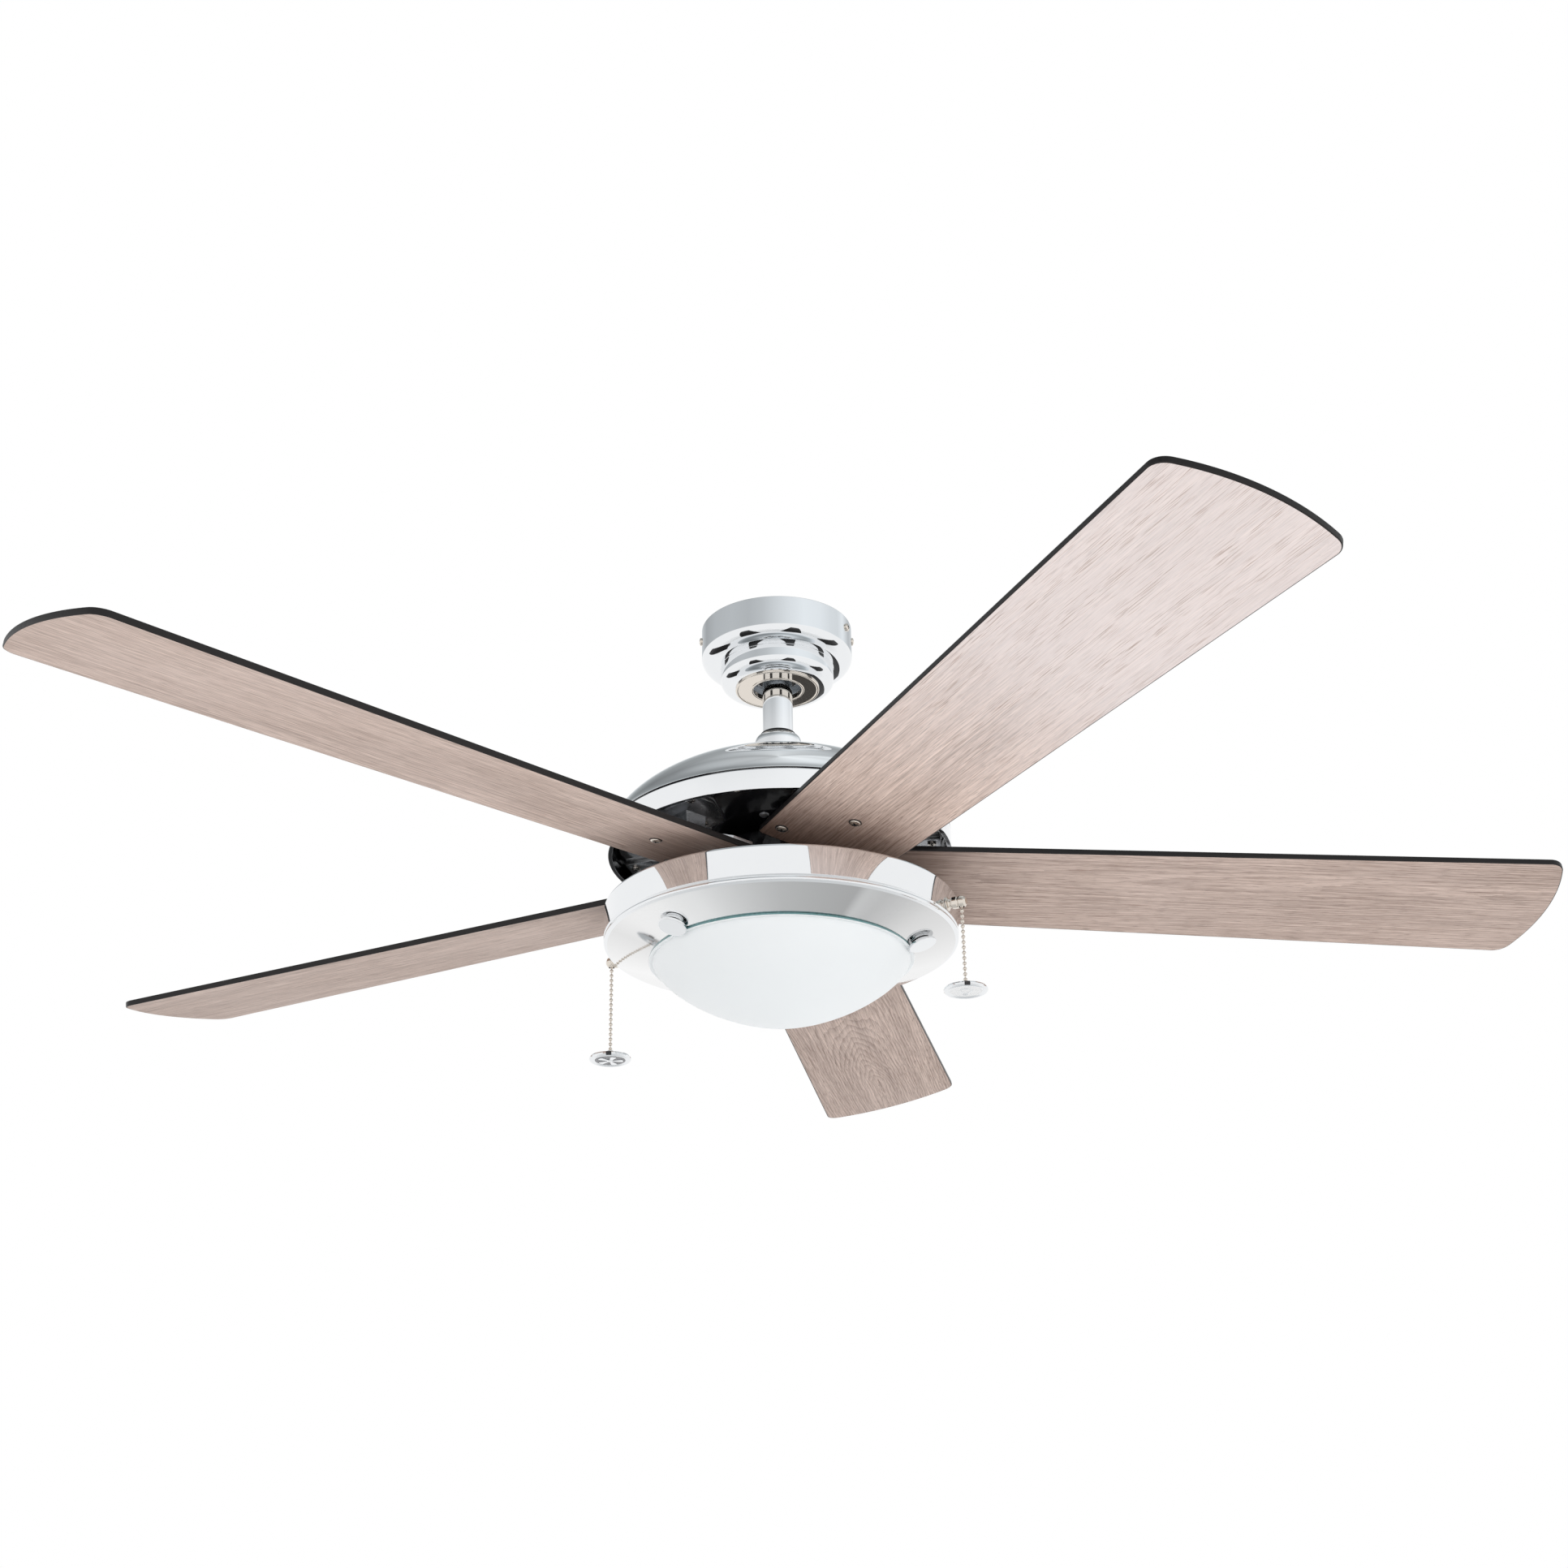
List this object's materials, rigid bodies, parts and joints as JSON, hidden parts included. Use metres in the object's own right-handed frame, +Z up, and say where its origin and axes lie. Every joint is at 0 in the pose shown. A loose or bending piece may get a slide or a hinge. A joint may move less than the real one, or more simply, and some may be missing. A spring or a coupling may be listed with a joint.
{
  "type": "ceiling fan with light",
  "caption": "Ceiling fan with short downrod, chrome motor housing, wood-print blades, and a frosted glass light bowl held by disc clips, with bead pull chains.",
  "frame": {"origin": "centre of the ceiling bracket's upper face, where it meets the ceiling, on the fan's vertical axis", "axes": "+Z up along the rotor axis; +X through the bracket's outlet-box slots; one blade points along +Y"},
  "size_m": [1.2725, 1.2211, 0.3617],
  "materials": {
    "chrome": "mirror-polished chrome plate",
    "nickel": "warm polished nickel plate",
    "zinc_steel": "bright zinc-plated steel",
    "black_metal": "black-painted casting",
    "black_gloss": "gloss black enamel",
    "black_plastic": "moulded, fine texture",
    "gasket_rubber": "matt",
    "lamination_steel": "stacked sheet edges",
    "copper_wire": "enamelled copper windings",
    "white_plastic": "satin",
    "white_metal": "white powder coat",
    "porcelain": "glazed",
    "bulb_glass": "opal",
    "frosted_glass": "acid-etched, faint green edge",
    "blade_wood": "weathered oak print with black edges"
  },
  "bodies": {
    "mount": {"ceiling_bracket": "zinc_steel", "canopy": "chrome", "canopy_ring": "nickel", "canopy_screws": "nickel"},
    "cross_pin": {"hanger_pin": "zinc_steel"},
    "hanging_unit": {"hanger_ball": "black_plastic", "downrod": "chrome", "set_screws": "zinc_steel", "coupling_gasket": "gasket_rubber", "coupling_cover": "chrome", "motor_coupling": "zinc_steel", "coupling_bolt": "zinc_steel", "housing_dome": "chrome", "dome_screws": "zinc_steel", "housing_band": "chrome", "motor_shaft": "zinc_steel", "stator_core": "lamination_steel", "stator_windings": "copper_wire", "bearings": "zinc_steel", "switch_housing": "black_gloss", "switch_cover": "black_plastic", "shaft_nut": "zinc_steel", "capacitor": "black_plastic", "reverse_switch": "black_plastic", "fan_switch": "black_plastic", "light_switch": "black_plastic", "fitter_plate": "white_metal", "lamp_bracket": "zinc_steel", "lampholders": "porcelain", "bulbs": "bulb_glass", "light_pan": "chrome", "pan_screws": "nickel", "glass_bowl": "frosted_glass", "fan_chain_bell": "nickel", "light_chain_bell": "nickel"},
    "rotor": {"rotor_upper": "black_metal", "rotor_lower": "black_metal", "rotor_ring": "lamination_steel", "rotor_screws": "zinc_steel", "flywheel": "black_gloss", "blade_arm_1": "zinc_steel", "blade_arm_2": "zinc_steel", "blade_arm_3": "zinc_steel", "blade_arm_4": "zinc_steel", "blade_arm_5": "zinc_steel", "blade_1": "blade_wood", "blade_2": "blade_wood", "blade_3": "blade_wood", "blade_4": "blade_wood", "blade_5": "blade_wood", "arm_screws": "nickel", "blade_screws": "nickel"},
    "reverse_slider": {"reverse_slider": "white_plastic"},
    "fan_chain": {"fan_chain": "nickel"},
    "fan_fob": {"fan_fob": "chrome"},
    "light_chain": {"light_chain": "nickel"},
    "light_fob": {"light_fob": "chrome"},
    "clip_1": {"glass_clip_1": "chrome"},
    "clip_2": {"glass_clip_2": "chrome"},
    "clip_3": {"glass_clip_3": "chrome"}
  },
  "joints": [
    {"name": "ball_tilt_x", "type": "hinge", "parent": "mount", "child": "cross_pin", "pos_m": [0, 0, -0.032], "axis": [1, 0, 0], "range_deg": [-7, 7]},
    {"name": "ball_tilt_y", "type": "hinge", "parent": "cross_pin", "child": "hanging_unit", "pos_m": [0, 0, -0.032], "axis": [0, 1, 0], "range_deg": [-7, 7]},
    {"name": "rotor_spin", "type": "hinge", "parent": "hanging_unit", "child": "rotor", "pos_m": [0, 0, -0.1725], "axis": [0, 0, 1], "continuous": true},
    {"name": "reverse_slide", "type": "slide", "parent": "hanging_unit", "child": "reverse_slider", "axis": [0, 0, 1], "range_m": [0, 0.006]},
    {"name": "clip_turn_1", "type": "hinge", "parent": "hanging_unit", "child": "clip_1", "pos_m": [-0.04698, 0.10551, -0.29622], "axis": [-0.1317, 0.2957, -0.9462], "continuous": true},
    {"name": "clip_turn_2", "type": "hinge", "parent": "hanging_unit", "child": "clip_2", "pos_m": [-0.06789, -0.09344, -0.29622], "axis": [-0.1903, -0.2619, -0.9462], "continuous": true},
    {"name": "clip_turn_3", "type": "hinge", "parent": "hanging_unit", "child": "clip_3", "pos_m": [0.11487, -0.01207, -0.29622], "axis": [0.3219, -0.0338, -0.9462], "continuous": true},
    {"name": "fan_chain_pull", "type": "slide", "parent": "hanging_unit", "child": "fan_chain", "axis": [0, 0, -1], "range_m": [0, 0.006], "stiffness_N_per_m": 300, "springref_m": -0.005},
    {"name": "fan_fob_spin", "type": "hinge", "parent": "fan_chain", "child": "fan_fob", "pos_m": [-0.15088, 0.03762, -0.34], "axis": [0, 0, 1], "continuous": true},
    {"name": "light_chain_pull", "type": "slide", "parent": "hanging_unit", "child": "light_chain", "axis": [0, 0, -1], "range_m": [0, 0.006], "stiffness_N_per_m": 300, "springref_m": -0.005},
    {"name": "light_fob_spin", "type": "hinge", "parent": "light_chain", "child": "light_fob", "pos_m": [0.15088, -0.03762, -0.34], "axis": [0, 0, 1], "continuous": true}
  ]
}
